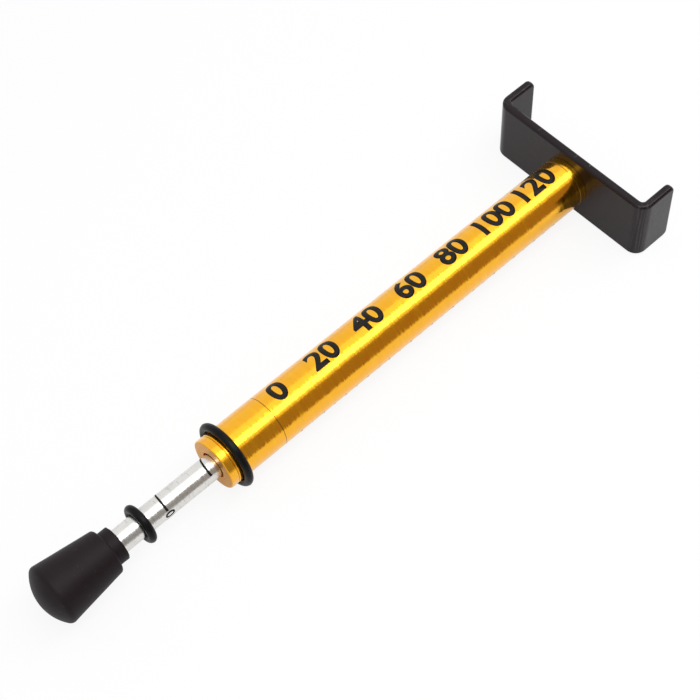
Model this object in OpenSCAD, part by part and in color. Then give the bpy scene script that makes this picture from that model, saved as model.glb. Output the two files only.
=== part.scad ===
// Belt tension tester: a sprung push gauge with a cradle that sits on the belt.
// Frame: the origin is the middle of the belt seat, on the tool's axis.
// +X runs along the axis, from the push knob to the belt. +Z is up, and the cradle is long in Y.
// All sizes are in millimetres.

/* [Barrel] */
// Outer diameter of the barrel, the nose cap and the plug's flange
barrel_d = 19; // [17:0.5:26]
// Wall thickness of the barrel
barrel_wall = 1.6; // [1:0.1:2]
// Length of the barrel between the nose cap and the plug's flange
barrel_len = 140; // [110:1:220]
// Break on the turned outer edges of the gold pieces
edge_break = 0.15; // [0.1:0.05:0.6]

/* [Nose cap] */
// Length of the nose cap that shows
nose_len = 23.4; // [16:0.2:40]
// Length of the nose cap's spigot inside the barrel
nose_spigot_len = 12; // [6:0.5:20]
// Radial room round the rod in the bore's relieved mouth
mouth_gap = 0.6; // [0.2:0.1:1.2]
// Depth of the relieved mouth
mouth_depth = 2; // [0.5:0.1:6]
// Rounding of the front face's rim
face_round = 0.6; // [0.2:0.1:1.2]
// Distance from the front face to the fine turned line
nose_line_from_face = 3.2; // [1.6:0.1:3.6]
// Width of the fine turned line
nose_line_w = 0.5; // [0.2:0.1:0.6]
// Depth of the fine turned line
nose_line_depth = 0.35; // [0.1:0.05:0.5]

/* [Tail plug] */
// Length of the plug's flange that shows between the barrel and the cradle
flange_len = 2.8; // [1.5:0.1:8]
// Length of the plug's spigot inside the barrel
plug_spigot_len = 12; // [11:0.5:24]
// Length of the pilot that centres the spring
pilot_len = 5; // [3:0.5:12]

/* [Cradle] */
// Overall length of the cradle across the belt
cradle_len = 69.4; // [50:0.2:120]
// Width of the strip that the cradle is bent from
cradle_w = 27; // [20:0.2:40]
// Thickness of the strip
plate_t = 3.2; // [3:0.1:5]
// Height of the legs above the belt seat
leg_h = 13.2; // [6:0.2:30]
// Inside radius of the bends
bend_r = 1.4; // [0.4:0.1:4]
// Rounding of the strip's long edges
strip_round = 1.2; // [0.2:0.1:1.4]
// Rounding of the leg tips across the strip's thickness
tip_round = 1.1; // [0.4:0.1:1.4]
// Rounding of the leg tips' corners, in the flat of the strip
tip_corner = 2.6; // [1:0.1:4]

/* [Cradle screw] */
// Thread diameter of the countersunk screw
screw_d = 6; // [4:0.5:6]
// Head diameter of the countersunk screw
screw_head_d = 11.4; // [10:0.2:11.8]
// Length of the screw's thread inside the plug
screw_grip = 9; // [5:0.5:10]
// Width across flats of the hexagon socket
socket_af = 4; // [2:0.5:4]
// Depth of the hexagon socket
socket_depth = 2.2; // [1:0.1:2.6]

/* [Plunger] */
// Diameter of the plunger rod
rod_d = 8.6; // [7:0.1:9.6]
// Length of bare rod between the nose cap and the knob at rest
rod_show = 40.2; // [36:0.2:70]
// Diameter of the threaded stud that holds the piston
stud_d = 5; // [4:0.5:5.5]
// Thickness of the piston's guide flange
piston_flange_len = 5; // [3:0.5:10]
// Length of the piston's boss inside the spring
piston_boss_len = 3; // [2:0.5:8]
// Thickness of the rubber stop between the piston and the nose cap
stop_t = 1.5; // [1:0.1:4]
// Outer diameter of the rubber stop
stop_d = 13; // [11:0.2:13.4]
// Thickness of the washer under the nut
washer_t = 1; // [0.5:0.1:2]
// Width across flats of the lock nut
nut_af = 8; // [7:0.5:8.5]
// Height of the lock nut
nut_h = 4; // [3:0.1:6]

/* [Spring] */
// Wire diameter of the spring
wire_d = 1.8; // [1.2:0.1:2]
// Working coils of the spring
coils = 19; // [10:1:24]
// Clearance between the spring and the barrel's wall
spring_side_gap = 0.4; // [0.2:0.05:0.8]
// Thickness of the shim that sets the spring's load
shim_t = 1; // [0.5:0.1:3]

/* [Push knob] */
// Largest diameter of the knob, at its rim
knob_d = 21.8; // [19:0.2:30]
// Diameter of the knob at its shoulder
knob_shoulder_d = 16.4; // [15:0.2:18.6]
// Overall length of the knob
knob_len = 30.8; // [26:0.2:45]
// Radius of the domed end
dome_r = 16; // [15.5:0.5:30]
// Rounding of the rim
rim_round = 2.2; // [0.6:0.1:3]
// Rounding of the shoulder
shoulder_round = 0.9; // [0.3:0.1:1.2]
// Diameter of the knob's neck
neck_d = 12.4; // [11.4:0.2:13.6]
// Length of the knob's neck
neck_len = 4; // [2:0.5:8]
// Depth of the socket that the rod is pushed into
knob_socket = 22; // [14:0.5:24]

/* [Marker rings] */
// Wire thickness of the large ring on the barrel
large_ring_t = 3; // [1.6:0.1:3.6]
// Distance from the nose cap's front face to the middle of the large ring
large_ring_from_face = 5.6; // [5.4:0.1:20]
// Wire thickness of the small ring on the rod
small_ring_t = 3; // [1.4:0.1:3.4]
// Distance from the knob's neck to the middle of the small ring
small_ring_from_neck = 9.6; // [2:0.2:14]

/* [Fits] */
// Radial clearance of sliding fits
slide_gap = 0.05; // [0.03:0.01:0.09]
// Radial clearance of screwed and pushed-in fits
seat_gap = 0.03; // [0.02:0.01:0.06]

/* [Hidden] */
$fn = 96;
barrel_r = barrel_d / 2;
bore_r = barrel_r - barrel_wall;
rod_r = rod_d / 2;
stud_r = stud_d / 2;
screw_r = screw_d / 2;
neck_r = neck_d / 2;

// Stations along the axis, from the belt seat back to the knob
seat_x = 0;
plate_back_x = seat_x - plate_t;
barrel_end_x = plate_back_x - flange_len;
barrel_front_x = barrel_end_x - barrel_len;
nose_face_x = barrel_front_x - nose_len;
neck_x = nose_face_x - rod_show;
shoulder_x = neck_x - neck_len;
knob_tip_x = neck_x - knob_len;
rod_tip_x = neck_x - knob_socket;

// Stations of the inner pieces, from the nose cap's spigot to the plug
spigot_end_x = barrel_front_x + nose_spigot_len;
piston_front_x = spigot_end_x + stop_t;
spring_front_x = piston_front_x + piston_flange_len;
piston_rear_x = spring_front_x + piston_boss_len;
nut_x = piston_rear_x + washer_t;
plug_inner_x = barrel_end_x - plug_spigot_len;
spring_rear_x = plug_inner_x - shim_t;
pilot_x = spring_rear_x - pilot_len;

// Thread that stands past the nut
stud_past = 1;
// Lead chamfer on the rod, the stud and the spigots
lead = 0.6;
stud_end_x = nut_x + nut_h + stud_past;
// Depth of the tapped hole beyond the screw's tip
tap_past = 1.5;
// The screw's head lies this far below the belt seat
head_sink = 0.15;
// Clearance of the washer and the cradle's hole on their bolts
bolt_gap = 0.15;

// Spring, from the room between the barrel's wall and the pieces that it sits on
spring_r = bore_r - spring_side_gap - wire_d / 2;
spring_inner_r = spring_r - wire_d / 2;
// Clearance of the boss and the pilot inside the spring
pilot_gap = 0.3;
pilot_r = spring_inner_r - pilot_gap;
// Clearance of the spring's ends on their seats
spring_end_gap = 0.02;
closed_rise = wire_d + spring_end_gap;
spring_free = spring_rear_x - spring_front_x - 2 * spring_end_gap;
coil_pitch = (spring_free - wire_d - 2 * closed_rise) / coils;
steps_per_coil = 16;
wire_sides = 8;

// Rings
large_ring_r = barrel_r + slide_gap + large_ring_t / 2;
large_ring_x = nose_face_x + large_ring_from_face;
small_ring_r = rod_r + slide_gap + small_ring_t / 2;
small_ring_x = neck_x + small_ring_from_neck;

// Countersunk head, a right-angled cone
head_r = screw_head_d / 2;
head_h = head_r - screw_r;
head_x = seat_x - head_sink;
screw_tip_x = plate_back_x - screw_grip;

// A solid of revolution about the X axis. Each point of the outline is [radius, x].
module turned(outline) {
    rotate([0, 90, 0]) rotate_extrude() polygon(outline);
}

// A plain ring about the X axis, from x0 to x1
module collar(inner_r, outer_r, x0, x1) {
    turned([[inner_r, x0], [outer_r, x0], [outer_r, x1], [inner_r, x1]]);
}

// A ring of round section about the X axis
module o_ring(mean_r, section_d, x) {
    rotate([0, 90, 0]) rotate_extrude() translate([mean_r, x]) circle(d = section_d, $fn = 48);
}

// Points of an arc in [radius, x], with angles turned from the -X direction outwards
function arc(centre, r, from, to, steps = 8) = [
    for (i = [0 : steps])
        let (a = from + (to - from) * i / steps)
        centre + r * [sin(a), -cos(a)]
];

module barrel() {
    color("goldenrod")
    turned([
        [bore_r, barrel_front_x],
        [barrel_r - edge_break, barrel_front_x],
        [barrel_r, barrel_front_x + edge_break],
        [barrel_r, barrel_end_x - edge_break],
        [barrel_r - edge_break, barrel_end_x],
        [bore_r, barrel_end_x]
    ]);
}

// Turned cap with a spigot that screws into the barrel and a bore that guides the rod
module nose_cap() {
    guide_r = rod_r + slide_gap;
    spigot_r = bore_r - seat_gap;
    line_x = nose_face_x + nose_line_from_face;
    color("goldenrod")
    turned([
        [rod_r + mouth_gap, nose_face_x],
        each arc([barrel_r - face_round, nose_face_x + face_round], face_round, 0, 90),
        [barrel_r, line_x - nose_line_w / 2],
        [barrel_r - nose_line_depth, line_x],
        [barrel_r, line_x + nose_line_w / 2],
        [barrel_r, barrel_front_x - edge_break],
        [barrel_r - edge_break, barrel_front_x],
        [spigot_r, barrel_front_x],
        [spigot_r, spigot_end_x - lead],
        [spigot_r - lead, spigot_end_x],
        [guide_r, spigot_end_x],
        [guide_r, nose_face_x + mouth_depth],
        [rod_r + mouth_gap, nose_face_x + mouth_depth]
    ]);
}

// Plug with a flange, a spigot in the barrel, a pilot for the spring and a tapped hole
module tail_plug() {
    spigot_r = bore_r - seat_gap;
    tap_r = screw_r + seat_gap;
    tap_x = screw_tip_x - tap_past;
    color("goldenrod")
    turned([
        [0, pilot_x],
        [pilot_r - lead, pilot_x],
        [pilot_r, pilot_x + lead],
        [pilot_r, plug_inner_x],
        [spigot_r - lead, plug_inner_x],
        [spigot_r, plug_inner_x + lead],
        [spigot_r, barrel_end_x],
        [barrel_r - edge_break, barrel_end_x],
        [barrel_r, barrel_end_x + edge_break],
        [barrel_r, plate_back_x],
        [tap_r, plate_back_x],
        [tap_r, tap_x],
        [0, tap_x - tap_r / 2]
    ]);
}

// Cross-section of the strip: its thickness along X, its width along Y, and rounded corners
module strip_section() {
    flat = plate_t - 2 * strip_round;
    side = cradle_w - 2 * strip_round;
    square([flat, cradle_w], center = true);
    square([plate_t, side], center = true);
    for (x = [-1, 1], y = [-1, 1])
        translate([x * flat / 2, y * side / 2]) circle(strip_round);
}

// What a rounding takes off a square corner that points to +X and +Y
module corner_waste(r) {
    difference() {
        translate([-r, -r]) square(2 * r);
        translate([-r, -r]) circle(r);
    }
}

// One half of the bent strip: half of the plate, a bend and a leg with a round tip
module half_strip() {
    half = cradle_len / 2;
    bend_y = half - plate_t - bend_r;
    translate([-plate_t / 2, bend_y, 0])
        rotate([90, 0, 0]) linear_extrude(bend_y) strip_section();
    translate([bend_r, bend_y, 0])
        rotate([0, 0, 90]) rotate_extrude(angle = 90)
            translate([bend_r + plate_t / 2, 0]) strip_section();
    difference() {
        translate([bend_r, half - plate_t / 2, 0])
            rotate([90, 0, 90]) linear_extrude(leg_h - bend_r) strip_section();
        for (side = [0, 1]) {
            mirror([0, 0, side])
                translate([leg_h, half, cradle_w / 2])
                    rotate([90, 0, 0])
                        linear_extrude(4 * plate_t, center = true) corner_waste(tip_corner);
            translate([leg_h, half - plate_t / 2, 0])
                mirror([0, side, 0])
                    translate([0, plate_t / 2, 0])
                        linear_extrude(2 * cradle_w, center = true) corner_waste(tip_round);
        }
    }
}

// Strip of steel bent into a shallow U that the belt lies in
module cradle() {
    hole_r = screw_r + bolt_gap;
    sink_r = head_r + seat_gap + head_sink;
    color([0.13, 0.12, 0.13])
    difference() {
        union() {
            half_strip();
            mirror([0, 1, 0]) half_strip();
        }
        turned([
            [0, plate_back_x - plate_t],
            [hole_r, plate_back_x - plate_t],
            [hole_r, seat_x - (sink_r - hole_r)],
            [sink_r, seat_x],
            [sink_r, seat_x + plate_t],
            [0, seat_x + plate_t]
        ]);
    }
}

// Countersunk screw with a hexagon socket, flush below the belt seat
module cradle_screw() {
    color("dimgray")
    difference() {
        turned([
            [0, screw_tip_x],
            [screw_r - lead, screw_tip_x],
            [screw_r, screw_tip_x + lead],
            [screw_r, head_x - head_h],
            [head_r, head_x],
            [0, head_x]
        ]);
        translate([head_x - socket_depth, 0, 0])
            rotate([0, 90, 0])
                cylinder(d = socket_af / cos(30), h = 2 * socket_depth, $fn = 6);
    }
}

// Bare rod with a stepped stud at its inner end
module plunger_rod() {
    color("silver")
    turned([
        [0, rod_tip_x],
        [rod_r - lead, rod_tip_x],
        [rod_r, rod_tip_x + lead],
        [rod_r, piston_front_x],
        [stud_r, piston_front_x],
        [stud_r, stud_end_x - lead],
        [stud_r - lead, stud_end_x],
        [0, stud_end_x]
    ]);
}

// Rubber knob: domed end, round rim, tapered side, stepped neck and a socket for the rod
module push_knob() {
    socket_r = rod_r + seat_gap;
    rim_r = knob_d / 2 - rim_round;
    dome_x = knob_tip_x + dome_r;
    rim_angle = asin(rim_r / (dome_r - rim_round));
    rim_x = dome_x - (dome_r - rim_round) * cos(rim_angle);
    shoulder_r = knob_shoulder_d / 2;
    side_angle = atan((knob_d / 2 - shoulder_r) / (shoulder_x - rim_x));
    lip = shoulder_round / 2;
    color([0.1, 0.1, 0.1])
    turned(concat(
        arc([0, dome_x], dome_r, 0, rim_angle, 12),
        arc([rim_r, rim_x], rim_round, rim_angle + 4, 90 + side_angle),
        arc([shoulder_r - shoulder_round, shoulder_x - shoulder_round], shoulder_round, 90 + side_angle, 180),
        [[neck_r, shoulder_x]],
        arc([neck_r - lip, neck_x - lip], lip, 90, 180, 4),
        [[socket_r, neck_x], [socket_r, rod_tip_x], [0, rod_tip_x]]
    ));
}

module stop_washer() {
    color([0.16, 0.16, 0.16])
    collar(rod_r + slide_gap, stop_d / 2, spigot_end_x, piston_front_x);
}

// Guide flange that runs in the barrel, with a boss that centres the spring
module piston() {
    piston_r = bore_r - slide_gap;
    hole_r = stud_r + seat_gap;
    color("whitesmoke")
    turned([
        [hole_r, piston_front_x],
        [piston_r - lead, piston_front_x],
        [piston_r, piston_front_x + lead],
        [piston_r, spring_front_x],
        [pilot_r, spring_front_x],
        [pilot_r, piston_rear_x - lead],
        [pilot_r - lead, piston_rear_x],
        [hole_r, piston_rear_x]
    ]);
}

module piston_washer() {
    color("lightgray")
    collar(stud_r + bolt_gap, pilot_r - lead, piston_rear_x, nut_x);
}

module lock_nut() {
    color("gray")
    translate([nut_x, 0, 0])
        rotate([0, 90, 0])
            difference() {
                cylinder(d = nut_af / cos(30), h = nut_h, $fn = 6);
                translate([0, 0, -nut_h]) cylinder(r = stud_r + seat_gap, h = 3 * nut_h);
            }
}

// Height of the wire's middle above its front seat after a number of turns: flat end coils, open middle
function coil_rise(turns) =
    turns < 1 ? turns * closed_rise :
    turns < coils + 1 ? closed_rise + (turns - 1) * coil_pitch :
    closed_rise + coils * coil_pitch + (turns - coils - 1) * closed_rise;

// Middle of the wire after a number of turns
function coil_point(turns) = [
    spring_front_x + spring_end_gap + wire_d / 2 + coil_rise(turns),
    spring_r * cos(360 * turns),
    spring_r * sin(360 * turns)
];

// One round section of the wire, square to the radius and to the run of the coil
function wire_section(turns) =
    let (
        out = [0, cos(360 * turns), sin(360 * turns)],
        run = [coil_pitch / (2 * PI * spring_r), -sin(360 * turns), cos(360 * turns)],
        side = cross(run / norm(run), out)
    )
    [for (k = [0 : wire_sides - 1])
        let (a = 360 * k / wire_sides)
        coil_point(turns) + wire_d / 2 * (cos(a) * out + sin(a) * side)];

module spring() {
    steps = (coils + 2) * steps_per_coil;
    points = [for (i = [0 : steps]) each wire_section(i / steps_per_coil)];
    walls = [
        for (i = [0 : steps - 1], k = [0 : wire_sides - 1])
            let (a = i * wire_sides, b = a + wire_sides, n = (k + 1) % wire_sides)
            each [[a + k, a + n, b + n], [a + k, b + n, b + k]]
    ];
    first = [for (k = [0 : wire_sides - 1]) wire_sides - 1 - k];
    last = [for (k = [0 : wire_sides - 1]) steps * wire_sides + k];
    color("slategray")
    polyhedron(points, concat(walls, [first, last]));
}

module spring_shim() {
    color("lightgray")
    collar(pilot_r + seat_gap, bore_r - spring_side_gap, spring_rear_x, plug_inner_x);
}

module large_ring() {
    color([0.08, 0.08, 0.08]) o_ring(large_ring_r, large_ring_t, large_ring_x);
}

module small_ring() {
    color([0.08, 0.08, 0.08]) o_ring(small_ring_r, small_ring_t, small_ring_x);
}

barrel();
nose_cap();
tail_plug();
cradle();
cradle_screw();
plunger_rod();
push_knob();
stop_washer();
piston();
piston_washer();
lock_nut();
spring();
spring_shim();
large_ring();
small_ring();
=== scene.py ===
# %% [markdown]
# # A belt tension tester
#
# The tester is a short push gauge. A bent steel cradle sits across a drive belt, a gold barrel holds a
# spring, and a bare rod with a rubber knob slides into the barrel when a hand pushes it. Two rubber rings
# slide along it as markers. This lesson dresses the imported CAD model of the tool: the sizes and places
# come from the frame, and each step makes one piece or one finish.

# %% Load the frame
import math

import bmesh
import bpy
from mathutils import Matrix, Vector, noise


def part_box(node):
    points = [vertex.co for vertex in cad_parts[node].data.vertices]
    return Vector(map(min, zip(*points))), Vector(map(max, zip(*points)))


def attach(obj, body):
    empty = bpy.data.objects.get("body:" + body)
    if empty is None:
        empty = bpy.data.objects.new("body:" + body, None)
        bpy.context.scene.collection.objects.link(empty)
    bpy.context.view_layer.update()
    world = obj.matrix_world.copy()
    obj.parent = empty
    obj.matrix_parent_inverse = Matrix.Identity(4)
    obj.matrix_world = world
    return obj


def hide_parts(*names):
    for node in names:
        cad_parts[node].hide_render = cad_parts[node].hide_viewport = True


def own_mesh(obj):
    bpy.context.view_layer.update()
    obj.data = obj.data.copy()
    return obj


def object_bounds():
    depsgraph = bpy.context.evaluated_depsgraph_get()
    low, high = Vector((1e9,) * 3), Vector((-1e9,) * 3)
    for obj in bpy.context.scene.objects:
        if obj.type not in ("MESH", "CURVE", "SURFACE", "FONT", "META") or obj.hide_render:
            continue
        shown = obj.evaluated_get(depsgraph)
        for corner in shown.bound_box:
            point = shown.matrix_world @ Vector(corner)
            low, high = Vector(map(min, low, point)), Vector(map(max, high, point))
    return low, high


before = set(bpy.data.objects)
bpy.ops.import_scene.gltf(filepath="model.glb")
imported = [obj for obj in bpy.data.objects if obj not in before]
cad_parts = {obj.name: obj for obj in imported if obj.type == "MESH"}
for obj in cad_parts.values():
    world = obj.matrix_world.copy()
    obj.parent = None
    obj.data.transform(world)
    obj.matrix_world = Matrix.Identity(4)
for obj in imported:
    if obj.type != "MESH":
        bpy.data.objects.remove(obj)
cad_low, cad_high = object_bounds()
MM = 0.001
scene = bpy.context.scene
print("nodes:", len(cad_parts), "box in mm:", [round(s / MM, 1) for s in cad_high - cad_low])

# %% [markdown]
# ## Stations and radii
#
# Turned parts are described along their axis. The tool lies along X, so each station is an x value and
# each size is a radius. Reading them from the frame keeps every dressed piece on the solid that it stands
# for.

# %% Read the stations from the frame
def x_span(node):
    """The lowest and highest x of a CAD node."""
    low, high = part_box(node)
    return low.x, high.x


def radius_of(node):
    """The largest radius of a CAD node about the X axis."""
    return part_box(node)[1].z


barrel_front_x, barrel_end_x = x_span("barrel")
nose_face_x, spigot_end_x = x_span("nose_cap")
plug_inner_x, plate_back_x = x_span("tail_plug")
rod_tip_x, stud_end_x = x_span("plunger_rod")
knob_tip_x, neck_x = x_span("push_knob")
cradle_low, cradle_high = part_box("cradle")
barrel_r = radius_of("barrel")
rod_r = radius_of("plunger_rod")
knob_r = radius_of("push_knob")
floor_z = cad_low.z
print("nose face at", round(nose_face_x / MM, 2), "mm, barrel radius", round(barrel_r / MM, 2), "mm")

# %% [markdown]
# ## The camera
#
# The photograph was taken from above and behind the knob, with a short telephoto lens. The place,
# direction and lens were worked out from the barrel's edges and the cradle's corners, so the render lines
# up with it. Blender's camera looks along its own -Z, so its third axis is the reverse of the viewing
# direction.

# %% Place the camera
CAMERA_PLACE = Vector((-331.0, -256.3, 521.9)) * MM
CAMERA_FORWARD = Vector((0.3586, 0.4133, -0.8370)).normalized()
CAMERA_UP = Vector((0.5860, 0.5983, 0.5465))
FOCAL_PIXELS = 1862.5
PHOTO_PIXELS = 700
SENSOR_WIDTH = 36.0
CAMERA_NEAR = 10 * MM


def look(place, forward, up):
    """A camera matrix from a place, a viewing direction and a rough up direction."""
    right = forward.cross(up).normalized()
    true_up = right.cross(forward)
    turn = Matrix((right, true_up, -forward)).transposed()
    return Matrix.Translation(place) @ turn.to_4x4()


camera_data = bpy.data.cameras.new("photo_camera")
camera_data.sensor_width = SENSOR_WIDTH
camera_data.lens = SENSOR_WIDTH * FOCAL_PIXELS / PHOTO_PIXELS
camera_data.clip_start = CAMERA_NEAR
camera = bpy.data.objects.new("photo_camera", camera_data)
camera.matrix_world = look(CAMERA_PLACE, CAMERA_FORWARD, CAMERA_UP)
scene.collection.objects.link(camera)
scene.camera = camera
scene.view_settings.view_transform = "Standard"
print("lens:", round(camera_data.lens, 1), "mm")

# %% [markdown]
# ## Small helpers for node trees
#
# Every finish below is a node tree. A few helpers keep the cells short: each adds one node and hands back
# the socket that the next node needs. A constant goes straight onto its socket, because an exporter reads
# it there.

# %% Node helpers
def fill(tree, socket, value):
    """Give a socket a link or a constant. None leaves it alone."""
    if isinstance(value, bpy.types.NodeSocket):
        tree.links.new(value, socket)
    elif value is not None:
        socket.default_value = value


def add_node(tree, kind, settings=None, **sockets):
    """Add a node, set its properties and fill its named input sockets."""
    node = tree.nodes.new(kind)
    for name, value in (settings or {}).items():
        setattr(node, name, value)
    for name, value in sockets.items():
        fill(tree, node.inputs[name.replace("_", " ")], value)
    return node


def calculate(tree, operation, first, second=None, third=None):
    """A Math node, as an output socket."""
    node = add_node(tree, "ShaderNodeMath", {"operation": operation})
    for socket, value in zip(node.inputs, (first, second, third)):
        fill(tree, socket, value)
    return node.outputs[0]


def vector_math(tree, operation, first, second=None, scale=None):
    """A Vector Math node with its inputs filled."""
    node = add_node(tree, "ShaderNodeVectorMath", {"operation": operation})
    for index, value in ((0, first), (1, second), (3, scale)):
        fill(tree, node.inputs[index], value)
    return node


def combine(tree, operation, first, second=None, scale=None):
    """A Vector Math node that gives a vector, as an output socket."""
    return vector_math(tree, operation, first, second, scale).outputs["Vector"]


def measure(tree, operation, first, second=None):
    """A Vector Math node that gives one number, as an output socket."""
    return vector_math(tree, operation, first, second).outputs["Value"]


def ramp(tree, value, start, stop):
    """0 up to the start, 1 from the stop on, and a straight ramp between them."""
    return add_node(tree, "ShaderNodeMapRange", Value=value, From_Min=start, From_Max=stop).outputs[0]


def mix_colours(tree, factor, first, second):
    """A Mix node for two colours, as an output socket."""
    node = add_node(tree, "ShaderNodeMix", {"data_type": "RGBA"})
    for index, value in ((0, factor), (6, first), (7, second)):
        fill(tree, node.inputs[index], value)
    return node.outputs[2]


def object_place(tree):
    """Object coordinates, as an output socket."""
    return add_node(tree, "ShaderNodeTexCoord").outputs["Object"]


def parts_of(tree, vector):
    """The x, y and z of a vector socket."""
    return add_node(tree, "ShaderNodeSeparateXYZ", Vector=vector).outputs


def cloud_of(tree, place, scale, detail, roughness=0.5):
    """A noise texture's value, as an output socket."""
    return add_node(tree, "ShaderNodeTexNoise", Vector=place, Scale=scale, Detail=detail,
                    Roughness=roughness).outputs[0]


print("helpers ready")

# %% [markdown]
# ## White world
#
# The photograph is a product shot on white. The world shows pure white to the camera and to reflections,
# but lights matt surfaces more gently, so that black rubber and paint stay black. The Light Path node
# tells the two kinds of ray apart.

# %% Make the world
WORLD_FILL = 0.62
WHITE = (1, 1, 1, 1)


def seen_directly(tree):
    """1 for camera, glossy and transmission rays, 0 for the rest."""
    path = add_node(tree, "ShaderNodeLightPath").outputs
    either = calculate(tree, "MAXIMUM", path["Is Camera Ray"], path["Is Glossy Ray"])
    return calculate(tree, "MAXIMUM", either, path["Is Transmission Ray"])


def mixed_surface(tree, factor, first, second, output):
    """Mix two shaders by a factor into an output node."""
    mix = add_node(tree, "ShaderNodeMixShader", Fac=factor)
    fill(tree, mix.inputs[1], first.outputs[0])
    fill(tree, mix.inputs[2], second.outputs[0])
    add_node(tree, output, Surface=mix.outputs[0])


world = bpy.data.worlds.new("white_studio")
world.use_nodes = True
world.node_tree.nodes.clear()
soft_fill = add_node(world.node_tree, "ShaderNodeBackground", Color=WHITE, Strength=WORLD_FILL)
plain_white = add_node(world.node_tree, "ShaderNodeBackground", Color=WHITE, Strength=1.0)
world_share = seen_directly(world.node_tree)
mixed_surface(world.node_tree, world_share, soft_fill, plain_white, "ShaderNodeOutputWorld")
scene.world = world
print("world lights with", WORLD_FILL, "and shows white")

# %% [markdown]
# ## Floor
#
# The tool lies on a pale floor that fades into the world. The floor glows when it is looked at, so only
# the soft shadow under the tool is darker than the background. Reflections see less of the glow, so that
# polished metal close to the floor picks up the shadow under it.

# %% Lay the floor
FLOOR_REACH = 4.0
FLOOR_TINT = (0.86, 0.86, 0.86, 1)
FLOOR_GLOW_SHARE = 0.88
FLOOR_MIRROR_SHARE = 0.38


def flat_plate(name, corners, material):
    """A four-cornered plate that belongs to the studio and not to the tool."""
    mesh = bpy.data.meshes.new(name)
    mesh.from_pydata(corners, [], [(0, 1, 2, 3)])
    mesh.materials.append(material)
    plate = bpy.data.objects.new(name, mesh)
    scene.collection.objects.link(plate)
    return plate


def studio_material(name):
    """An empty material for the studio's own plates."""
    material = bpy.data.materials.new(name)
    material.use_nodes = True
    material.node_tree.nodes.clear()
    return material, material.node_tree


floor_paint, floor_tree = studio_material("studio_floor")
matt = add_node(floor_tree, "ShaderNodeBsdfDiffuse", Color=FLOOR_TINT)
glow = add_node(floor_tree, "ShaderNodeEmission", Color=WHITE, Strength=1.0)
to_camera = add_node(floor_tree, "ShaderNodeLightPath").outputs["Is Camera Ray"]
extra = calculate(floor_tree, "MULTIPLY", to_camera, FLOOR_GLOW_SHARE - FLOOR_MIRROR_SHARE)
glow_share = calculate(floor_tree, "MULTIPLY_ADD", seen_directly(floor_tree), FLOOR_MIRROR_SHARE, extra)
mixed_surface(floor_tree, glow_share, matt, glow, "ShaderNodeOutputMaterial")
corner_signs = ((-1, -1), (1, -1), (1, 1), (-1, 1))
flat_plate("floor", [(x * FLOOR_REACH, y * FLOOR_REACH, floor_z) for x, y in corner_signs], floor_paint)
print("floor at", round(floor_z / MM, 2), "mm")

# %% [markdown]
# ## Softboxes
#
# Two long softboxes hang level over the tool, a wide dim one and a narrow bright one, so that the
# highlight on the barrel is crisp on one side and fades on the other. Their edges are given as angles
# round the tool, because that is what decides where the highlight starts and stops on a round barrel.

# %% Hang the softboxes
LAMP_X = (-0.50, 0.80)
WIDE = {"height": 0.64, "span": (64, 118.5), "radiance": 0.45}
NARROW = {"height": 0.62, "span": (94, 116), "radiance": 3.0}


def softbox(name, height, span, radiance):
    """A level lamp over the tool. Its edges are angles from +Y over the top, in degrees."""
    far_y, near_y = [height / math.tan(math.radians(a)) for a in span]
    data = bpy.data.lights.new(name, "AREA")
    data.shape = "RECTANGLE"
    data.size, data.size_y = LAMP_X[1] - LAMP_X[0], far_y - near_y
    data.energy = radiance * math.pi * data.size * data.size_y
    lamp = bpy.data.objects.new(name, data)
    lamp.location = (sum(LAMP_X) / 2, (far_y + near_y) / 2, height)
    lamp.visible_camera = False
    scene.collection.objects.link(lamp)
    print(name, round(data.energy, 2), "W")


softbox("wide_softbox", **WIDE)
softbox("narrow_softbox", **NARROW)

# %% [markdown]
# ## Bent card
#
# Polished tube needs something dark beside something bright to read as metal. A card stands on the near
# side of the tool as a painted reflection: it glows dimly, only reflections can see it, so it takes no
# light away, and its colour is the dark band that the metal mirrors. It turns from grey to tan where the
# nose face is mirrored in it, because the dark band is grey on the rod and brown on the barrel.
# Reflections run across the card at a slant, so the place of that turn is a dot product. The foot of the
# card lies on the floor and fades out toward the tool, which softens the lower edge of the band.

# %% Stand the card
CARD_GREY = (0.35, 0.345, 0.34, 1)
CARD_TAN = (0.37, 0.26, 0.18, 1)
CARD_X = (-1.2, 1.6)
CARD_TURN = 15 * MM
CARD_SLANT = (1.0, 0.28, -0.09)
CARD_FADE = (-0.30, -0.09)
CARD_BACK = -0.80
CARD_TOP = 1.0
CARD_LIFT = 1 * MM
card_paint, card_tree = studio_material("bent_card")
card_place = object_place(card_tree)
mirror_x = measure(card_tree, "DOT_PRODUCT", card_place, CARD_SLANT)
past_nose = ramp(card_tree, mirror_x, nose_face_x, nose_face_x + CARD_TURN)
# The card's tone is painted reflection: the grey and tan dark band that the rod and barrel mirror.
card_tone = mix_colours(card_tree, past_nose, CARD_GREY, CARD_TAN)
card_glow = add_node(card_tree, "ShaderNodeEmission", Color=card_tone, Strength=1.0)
card_fade = ramp(card_tree, parts_of(card_tree, card_place)[1], *CARD_FADE)
clear = add_node(card_tree, "ShaderNodeBsdfTransparent")
mixed_surface(card_tree, card_fade, card_glow, clear, "ShaderNodeOutputMaterial")
foot_z = floor_z + CARD_LIFT
folds = ((CARD_BACK, CARD_TOP), (CARD_BACK, foot_z), (CARD_FADE[1], foot_z))
for name, upper, lower in zip(("card_back", "card_foot"), folds, folds[1:]):
    left, right = CARD_X
    card = flat_plate(name, [(left, *upper), (right, *upper), (right, *lower), (left, *lower)], card_paint)
    card.visible_camera = False
    card.visible_diffuse = False
    card.visible_shadow = False
print("card turns from", CARD_GREY[:3], "to", CARD_TAN[:3])

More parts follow.
